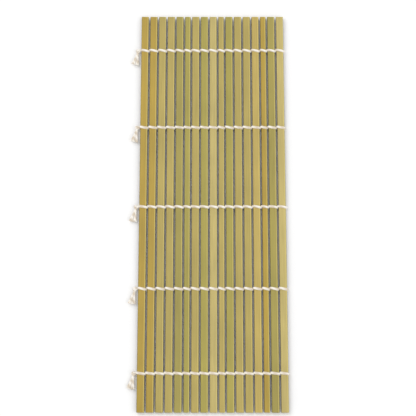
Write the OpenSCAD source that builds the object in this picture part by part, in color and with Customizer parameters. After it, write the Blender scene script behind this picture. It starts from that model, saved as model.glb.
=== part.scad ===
// Bamboo sushi rolling mat: flat slats tied side by side with cotton string.
// The slats lie along Y, the mat's resting face is at z = 0.

/* [Slats] */
// Length of every slat
slat_l = 240; // [180:5:300]
// Width of a full slat
slat_w = 4.3; // [3.5:0.1:7]
// How much narrower the narrow slats are
narrow_by = 1.0; // [0:0.1:1.2]
// Open gap between two slats
gap = 1.0; // [0.9:0.05:1.5]
// Thickness of a slat
slat_t = 2.0; // [1.6:0.1:3]
// Bevel along the slats' long edges
bevel = 0.3; // [0.1:0.05:0.5]
// Number of slats
slats = 17; // [17:1:17]

/* [String] */
// Number of string rows
rows = 5; // [4:1:5]
// Distance between two string rows
row_step = 49; // [30:1:56]
// Thickness of the string over the slats
string_t = 0.9; // [0.6:0.1:1.2]
// Width of a string turn along the slat
string_w = 1.6; // [1:0.1:2.4]
// Thickness of the string inside a gap
string_gap_t = 0.25; // [0.15:0.05:0.3]
// How far the string rises from the middle before it slopes over a slat
string_side = 0.7; // [0.4:0.1:0.8]
// How far the top of a turn stays inside the slat's side
string_inset = 0.6; // [0.4:0.1:1]

/* [Knots] */
// Diameter of a knot
knot_d = 3.2; // [2.4:0.1:4]
// Length of a knot's loose tail
tail_l = 9; // [5:0.5:14]
// Diameter of a tail
tail_d = 1.3; // [0.8:0.1:1.6]
// Slant of the outer tail away from the slats
tail_angle = 20; // [0:1:30]
// Slant of the inner tail towards the slats
inner_angle = 4; // [0:1:6]

/* [Hidden] */
// Slats that are split narrower, counted from the edge without knots
NARROW = [3, 8, 12];
pitch = slat_w + gap;
half_t = slat_t / 2;
mid_z = half_t + string_t;
turn_half_w = slat_w / 2 + string_gap_t;
tail_reach = tail_l * sin(tail_angle) + tail_d / 2 * cos(tail_angle);
knot_gap = turn_half_w + knot_d / 2;
span = (slats - 1) * pitch - len(NARROW) * narrow_by;
// The first slat stands so far right that the whole mat is centred
first_x = (span + knot_gap + max(knot_d / 2, tail_reach) - turn_half_w) / 2;
knot_x = first_x - span - knot_gap;
$fn = 32;

function is_narrow(i) = len([for (n = NARROW) if (n == i) n]);
function narrow_before(i) = len([for (n = NARROW) if (n < i) n]);
function half_w(i) = (slat_w - is_narrow(i) * narrow_by) / 2;
function saved(i) = (narrow_before(i) + is_narrow(i) / 2) * narrow_by;
function slat_x(i) = first_x - (i - 1) * pitch + saved(i);
function row_y(r) = ((rows + 1) / 2 - r) * row_step;

// Outline of a slat, seen along its length
module slat_section(i) {
    side = half_w(i);
    polygon([
        [-side + bevel, -half_t],
        [side - bevel, -half_t],
        [side, -half_t + bevel],
        [side, half_t - bevel],
        [side - bevel, half_t],
        [-side + bevel, half_t],
        [-side, half_t - bevel],
        [-side, -half_t + bevel]
    ]);
}

// Outer outline of one string turn round a slat
module turn_section(i) {
    top = half_t + string_t;
    flat = half_w(i) - string_inset;
    side = half_w(i) + string_gap_t;
    polygon([
        [-flat, -top],
        [flat, -top],
        [side, -string_side],
        [side, string_side],
        [flat, top],
        [-flat, top],
        [-side, string_side],
        [-side, -string_side]
    ]);
}

// One flat bamboo slat
module slat(i) {
    color("DarkKhaki")
        translate([slat_x(i), slat_l / 2, mid_z])
            rotate([90, 0, 0])
                linear_extrude(slat_l)
                    slat_section(i);
}

// The string turns round one slat, one for each row
module ties(i) {
    color("Ivory")
        for (r = [1:rows])
            translate([slat_x(i), row_y(r) + string_w / 2, mid_z])
                rotate([90, 0, 0])
                    linear_extrude(string_w)
                        difference() {
                            turn_section(i);
                            slat_section(i);
                        }
}

// A loose string tail, starting inside the knot
module tail(turn) {
    rotate([90, 0, turn])
        cylinder(h = tail_l, d = tail_d);
}

// The knot at the end of a string row, with its two tails
module knot(r) {
    color("Ivory")
        translate([knot_x, row_y(r), mid_z]) {
            sphere(d = knot_d);
            tail(-tail_angle);
            tail(inner_angle);
        }
}

for (i = [1:slats])
    slat(i);
for (i = [1:slats])
    ties(i);
for (r = [1:rows])
    knot(r);
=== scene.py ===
import bpy, math, random
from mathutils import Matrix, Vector


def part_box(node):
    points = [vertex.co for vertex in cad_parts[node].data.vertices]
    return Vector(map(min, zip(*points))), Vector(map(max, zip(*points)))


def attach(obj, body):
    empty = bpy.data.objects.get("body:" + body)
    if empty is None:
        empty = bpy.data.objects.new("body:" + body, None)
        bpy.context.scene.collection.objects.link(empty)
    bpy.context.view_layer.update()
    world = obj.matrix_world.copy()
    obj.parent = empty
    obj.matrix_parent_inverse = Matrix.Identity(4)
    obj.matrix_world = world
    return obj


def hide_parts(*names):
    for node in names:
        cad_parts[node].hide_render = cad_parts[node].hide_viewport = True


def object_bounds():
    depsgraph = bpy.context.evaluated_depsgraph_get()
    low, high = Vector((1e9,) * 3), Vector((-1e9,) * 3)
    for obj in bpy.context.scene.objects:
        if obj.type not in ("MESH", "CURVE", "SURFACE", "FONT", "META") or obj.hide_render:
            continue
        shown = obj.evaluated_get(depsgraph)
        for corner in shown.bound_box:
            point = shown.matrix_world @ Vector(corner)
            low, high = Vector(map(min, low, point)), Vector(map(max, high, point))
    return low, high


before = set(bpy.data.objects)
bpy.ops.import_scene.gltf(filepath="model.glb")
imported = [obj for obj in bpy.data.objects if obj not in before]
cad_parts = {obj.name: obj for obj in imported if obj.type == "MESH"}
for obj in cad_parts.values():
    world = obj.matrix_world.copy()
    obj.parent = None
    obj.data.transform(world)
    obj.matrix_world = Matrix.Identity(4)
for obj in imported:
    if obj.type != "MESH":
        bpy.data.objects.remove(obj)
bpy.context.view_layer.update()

mm = 0.001
slatCount = 17
rowCount = 5

mat = {
    "slatTints": ("#B5A257", "#A3964A", "#C2B06C",
                  "#B39636", "#A89C48", "#C0A85A"),
    "slatDark": "#776A2E",
    "slatEdgeHighlight": "#E3D27C",
    # painted shade on the slats' sides, for the dark gaps between them
    "paintedGapShade": "#2E1F12",
    "edgeHighlightWidth": 0.8 * mm,     # the painted highlight along the right edge
    "gapShadeWidth": 0.16 * mm,    # width of the painted shade along each slat's sides
    "fibreWidth": 0.35 * mm,
    "fibreStretch": 0.02,      # fibres run fifty times longer than wide
    "fibreShade": 0.32,        # how much of the dark tint a fibre shows
    "fibreRelief": 0.08 * mm,
    "patchSize": 28 * mm,      # slow change of tone along a slat
    "patchTones": (0.9, 1.08),
    "noiseSpan": (0.3, 0.7),   # the part of a noise that is used
    "edgeHighlightShare": 0.75,
    "skinRoughness": 0.48,
    "stringColour": "#F8F3EA",
    # painted shade in the grooves of the twisted string
    "stringGrooveShade": "#DCCFBC",
    "stringRadius": 0.8 * mm,
    "rowSlant": 0.45 * mm,     # each turn lies a little askew
    "strandTwist": 2.6 * mm,   # lay length of the twisted string
    "fuzzSize": 0.3 * mm,
    "fuzzRelief": 0.2 * mm,
    "stringRoughness": 0.9,
    "turnShoulder": 0.5 * mm,  # from a turn's side to where it lies flat
    "rowStep": 49 * mm,
}
knots = {
    "ball": 1.6 * mm,
    "turnShare": 0.55,
    "turnRadius": 0.62 * mm,
    "ringWave": 0.35 * mm,
    "wrapWave": 0.5 * mm,
    "tailLength": 9 * mm,
    "frayRadius": 0.36 * mm,   # one of the three strands that a tail frays into
    "fraySpread": math.radians(5),
    "frayBend": 0.6 * mm,
    "frayRise": 0.3 * mm,
    "outerSlant": math.radians(20),
    "innerSlant": math.radians(4),
}
studio = {
    "floorColour": "#F7F7F7",
    "floorSize": 3.0,
    "lampEnergy": 9,
    "lampSize": 1.2,
    "worldStrength": 0.7,
    "cameraHeight": 0.75,
    "cameraBack": 0.2,
    "cameraLens": 114,
}


def hexColour(text):
    parts = [int(text[i:i + 2], 16) / 255 for i in (1, 3, 5)]
    linear = [c / 12.92 if c <= 0.04045 else ((c + 0.055) / 1.055) ** 2.4 for c in parts]
    return (*linear, 1)


def addNode(tree, kind, settings=None, inputs=None, links=None):
    node = tree.nodes.new(kind)
    for name, value in (settings or {}).items():
        setattr(node, name, value)
    for name, value in (inputs or {}).items():
        node.inputs[name].default_value = value
    for name, socket in (links or {}).items():
        tree.links.new(socket, node.inputs[name])
    return node


def newMaterial(name):
    material = bpy.data.materials.new(name)
    material.use_nodes = True
    return material, material.node_tree, material.node_tree.nodes["Principled BSDF"]


# The camera looks down, tilted a little, so that the near end is larger
low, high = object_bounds()
centre = (Vector(low) + Vector(high)) / 2
cameraData = bpy.data.cameras.new("camera")
cameraData.lens = studio["cameraLens"]
camera = bpy.data.objects.new("camera", cameraData)
bpy.context.scene.collection.objects.link(camera)
camera.location = (centre.x, -studio["cameraBack"], studio["cameraHeight"])
aim = Vector((centre.x, 0, 0)) - camera.location
camera.rotation_euler = aim.to_track_quat("-Z", "Y").to_euler()
bpy.context.scene.camera = camera
print("camera placed")


# Split bamboo, skin side up: a smooth olive skin with long fine fibres
def bambooMaterial(number, tint, centreX, halfWidth):
    material, tree, shader = newMaterial(f"bamboo_skin_{number}")
    noiseLow, noiseHigh = mat["noiseSpan"]
    toneLow, toneHigh = mat["patchTones"]
    coords = addNode(tree, "ShaderNodeTexCoord").outputs["Object"]
    shifted = addNode(tree, "ShaderNodeMapping", None,
                      {"Location": (number * 0.7, number * 1.3, 0), "Scale": (1, mat["fibreStretch"], 1)},
                      {"Vector": coords}).outputs["Vector"]
    fibres = addNode(tree, "ShaderNodeTexNoise", None,
                     {"Scale": 1 / mat["fibreWidth"], "Detail": 4, "Roughness": 0.6},
                     {"Vector": shifted}).outputs["Fac"]
    patches = addNode(tree, "ShaderNodeTexNoise", None,
                      {"Scale": 1 / mat["patchSize"], "Detail": 2}, {"Vector": coords}).outputs["Fac"]
    ramp = addNode(tree, "ShaderNodeMapRange", None,
                   {"From Min": noiseLow, "From Max": noiseHigh,
                    "To Min": 0, "To Max": mat["fibreShade"]},
                   {"Value": fibres}).outputs["Result"]
    base = addNode(tree, "ShaderNodeMix", {"data_type": "RGBA"}, None, {0: ramp})
    base.inputs[6].default_value = hexColour(tint)
    base.inputs[7].default_value = hexColour(mat["slatDark"])
    tone = addNode(tree, "ShaderNodeMapRange", None,
                   {"From Min": noiseLow, "From Max": noiseHigh,
                    "To Min": toneLow, "To Max": toneHigh},
                   {"Value": patches}).outputs["Result"]
    toned = addNode(tree, "ShaderNodeVectorMath", {"operation": "SCALE"}, None,
                    {0: base.outputs[2], "Scale": tone}).outputs[0]
    # A painted highlight runs along each slat's right edge
    across = addNode(tree, "ShaderNodeSeparateXYZ", None, None, {0: coords}).outputs["X"]
    edge = addNode(tree, "ShaderNodeMapRange", None,
                   {"From Min": centreX + halfWidth - mat["edgeHighlightWidth"],
                    "From Max": centreX + halfWidth - mat["gapShadeWidth"],
                    "To Min": 0, "To Max": mat["edgeHighlightShare"]},
                   {"Value": across}).outputs["Result"]
    mixed = addNode(tree, "ShaderNodeMix", {"data_type": "RGBA"}, None, {0: edge, 6: toned})
    mixed.inputs[7].default_value = hexColour(mat["slatEdgeHighlight"])
    # The slats' sawn sides are painted dark: painted shade standing in for the dark gaps between the
    # slats
    offset = addNode(tree, "ShaderNodeMath", {"operation": "SUBTRACT"}, {1: centreX},
                     {0: across}).outputs[0]
    reach = addNode(tree, "ShaderNodeMath", {"operation": "ABSOLUTE"}, None, {0: offset}).outputs[0]
    # side is the mask of the painted gap shade
    side = addNode(tree, "ShaderNodeMapRange", None,
                   {"From Min": halfWidth - mat["gapShadeWidth"],
                    "From Max": halfWidth - mat["gapShadeWidth"] / 2,
                    "To Min": 0, "To Max": 1}, {"Value": reach}).outputs["Result"]
    gapShaded = addNode(tree, "ShaderNodeMix", {"data_type": "RGBA"}, None,
                    {0: side, 6: mixed.outputs[2]})
    gapShaded.inputs[7].default_value = hexColour(mat["paintedGapShade"])
    bump = addNode(tree, "ShaderNodeBump", None, {"Strength": 0.25, "Distance": mat["fibreRelief"]},
                   {"Height": fibres}).outputs["Normal"]
    tree.links.new(gapShaded.outputs[2], shader.inputs["Base Color"])
    tree.links.new(bump, shader.inputs["Normal"])
    shader.inputs["Roughness"].default_value = mat["skinRoughness"]
    return material


random.seed(7)
for number in range(1, slatCount + 1):
    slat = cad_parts[f"slat_{number}"]
    slatLow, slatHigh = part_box(f"slat_{number}")
    tint = random.choice(mat["slatTints"])
    slat.data.materials.clear()
    slat.data.materials.append(bambooMaterial(
        number, tint, (slatLow.x + slatHigh.x) / 2, (slatHigh.x - slatLow.x) / 2))
print("slats dressed")


# Cotton twine, twisted: soft and matt, with its lay drawn as slanting ridges and painted shade in the
# grooves between strands
def cottonMaterial():
    material, tree, shader = newMaterial("cotton_string")
    coords = addNode(tree, "ShaderNodeTexCoord").outputs["Object"]
    lay = addNode(tree, "ShaderNodeTexWave", {"bands_direction": "DIAGONAL"},
                  {"Scale": 0.32 / mat["strandTwist"], "Distortion": 1.5, "Detail": 2},
                  {"Vector": coords}).outputs["Fac"]
    fuzz = addNode(tree, "ShaderNodeTexNoise", None, {"Scale": 1 / mat["fuzzSize"], "Detail": 3},
                   {"Vector": coords}).outputs["Fac"]
    colour = addNode(tree, "ShaderNodeMix", {"data_type": "RGBA"}, None, {0: lay})
    colour.inputs[6].default_value = hexColour(mat["stringGrooveShade"])
    colour.inputs[7].default_value = hexColour(mat["stringColour"])
    height = addNode(tree, "ShaderNodeMath", {"operation": "ADD"}, None,
                     {0: lay, 1: fuzz}).outputs[0]
    bump = addNode(tree, "ShaderNodeBump", None, {"Strength": 0.6, "Distance": mat["fuzzRelief"]},
                   {"Height": height}).outputs["Normal"]
    tree.links.new(colour.outputs[2], shader.inputs["Base Color"])
    tree.links.new(bump, shader.inputs["Normal"])
    shader.inputs["Roughness"].default_value = mat["stringRoughness"]
    return material


cotton = cottonMaterial()


def tube(name, routes, radius, closed):
    curve = bpy.data.curves.new(name, "CURVE")
    curve.dimensions = "3D"
    curve.bevel_depth = radius
    curve.bevel_resolution = 2
    curve.resolution_u = 4
    curve.use_fill_caps = True
    for route in routes:
        spline = curve.splines.new("NURBS")
        spline.points.add(len(route) - 1)
        for point, place in zip(spline.points, route):
            point.co = (*place, 1)
        spline.order_u = 3
        spline.use_cyclic_u = closed
        spline.use_endpoint_u = not closed
    draft = bpy.data.objects.new(name, curve)
    bpy.context.scene.collection.objects.link(draft)
    bpy.ops.object.select_all(action="DESELECT")
    draft.select_set(True)
    bpy.context.view_layer.objects.active = draft
    bpy.ops.object.convert(target="MESH")
    piece = bpy.context.view_layer.objects.active
    bpy.ops.object.shade_smooth()
    piece.data.materials.clear()
    piece.data.materials.append(cotton)
    return piece


# One turn of string round a slat in each row, slanting a little across its width
def turnRoute(left, right, bottom, top, rowY):
    inner = mat["stringRadius"]
    slant = mat["rowSlant"]
    middle = (left + right) / 2
    midZ = (bottom + top) / 2
    flatLeft = left + mat["turnShoulder"]
    flatRight = right - mat["turnShoulder"]
    shape = ((left, 0), (flatLeft, 1), (middle, 1), (flatRight, 1),
             (right, 0), (flatRight, -1), (middle, -1), (flatLeft, -1))
    route = []
    for x, side in shape:
        along = (x - middle) / (right - left)
        z = midZ + side * ((top - bottom) / 2 - inner)
        y = rowY - slant * 2 * along * (1 if side >= 0 else -1)
        route.append((x, y, z))
    return route


rowPlaces = [((rowCount + 1) / 2 - row) * mat["rowStep"] for row in range(1, rowCount + 1)]
for number in range(1, slatCount + 1):
    tieLow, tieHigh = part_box(f"ties_{number}")
    routes = [turnRoute(tieLow.x, tieHigh.x, tieLow.z, tieHigh.z, y) for y in rowPlaces]
    turns = tube(f"string_turns_{number}", routes, mat["stringRadius"], True)
    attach(turns, f"slat_body_{number}")
    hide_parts(f"ties_{number}")
print("string rows made")


# A small knot: a flat turn of string, an upright one over it, and two frayed tails
def knotRoutes(centrePoint, row):
    r = knots["ball"] * knots["turnShare"]
    around = [math.radians(45 * step) for step in range(9)]  # eighths of a full turn
    ring = [(centrePoint.x + r * math.cos(a),
             centrePoint.y + r * math.sin(a) * 0.9,
             centrePoint.z + knots["ringWave"] * math.sin(2 * a + row))
            for a in around]
    wrap = [(centrePoint.x + r * 0.9 * math.cos(a),
             centrePoint.y + knots["wrapWave"] * math.sin(a + 1),
             centrePoint.z + r * 0.8 * math.sin(a))
            for a in around]
    return [ring, wrap]


def tailRoutes(centrePoint, slant, strand):
    length = knots["tailLength"]
    routes = []
    for step in range(3):
        spread = knots["fraySpread"] * (step - 1)
        bend = knots["frayBend"] * math.sin(strand + step)
        route = []
        for part in (0, 0.35, 0.7, 1):
            angle = slant + spread * part
            route.append((centrePoint.x - length * part * math.sin(angle),
                          centrePoint.y - length * part * math.cos(angle) + bend * part * 0.3,
                          centrePoint.z + knots["frayRise"] * math.cos(strand + step * 2) * part))
        routes.append(route)
    return routes


for row in range(1, rowCount + 1):
    knotLow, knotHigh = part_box(f"knot_{row}")
    ballX = knotHigh.x - knots["ball"]
    place = Vector((ballX, rowPlaces[row - 1], (knotLow.z + knotHigh.z) / 2))
    ball = tube(f"knot_turns_{row}", knotRoutes(place, row), knots["turnRadius"], False)
    outer = tailRoutes(place, knots["outerSlant"], row)
    inner = tailRoutes(place, knots["innerSlant"], row + 3)
    tails = tube(f"knot_tails_{row}", outer + inner, knots["frayRadius"], False)
    for piece in (ball, tails):
        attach(piece, f"slat_body_{slatCount}")
        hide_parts(f"knot_{row}")
print("knots made")


# Studio: a pale floor and soft lamps
bpy.ops.object.select_all(action="DESELECT")
bpy.ops.mesh.primitive_plane_add(size=studio["floorSize"], location=(0, 0, 0))
floor = bpy.context.view_layer.objects.active
floor.name = "floor"
floorMaterial, floorTree, floorShader = newMaterial("studio_paper")
floorShader.inputs["Base Color"].default_value = hexColour(studio["floorColour"])
floorShader.inputs["Roughness"].default_value = 0.9
floor.data.materials.append(floorMaterial)

lamps = (("keyLamp", (-0.7, 0.5, 1.3), 1.0), ("fillLamp", (0.8, -0.5, 1.2), 0.6))
for name, place, energy in lamps:
    lampData = bpy.data.lights.new(name, "AREA")
    lampData.energy = studio["lampEnergy"] * energy
    lampData.size = studio["lampSize"]
    lamp = bpy.data.objects.new(name, lampData)
    bpy.context.scene.collection.objects.link(lamp)
    lamp.location = place
    lamp.rotation_euler = (-Vector(place)).to_track_quat("-Z", "Y").to_euler()

world = bpy.context.scene.world or bpy.data.worlds.new("studio")
bpy.context.scene.world = world
world.use_nodes = True
background = world.node_tree.nodes["Background"]
background.inputs["Color"].default_value = hexColour("#FFFFFF")
background.inputs["Strength"].default_value = studio["worldStrength"]
bpy.context.scene.view_settings.view_transform = "Standard"
print("studio lit")
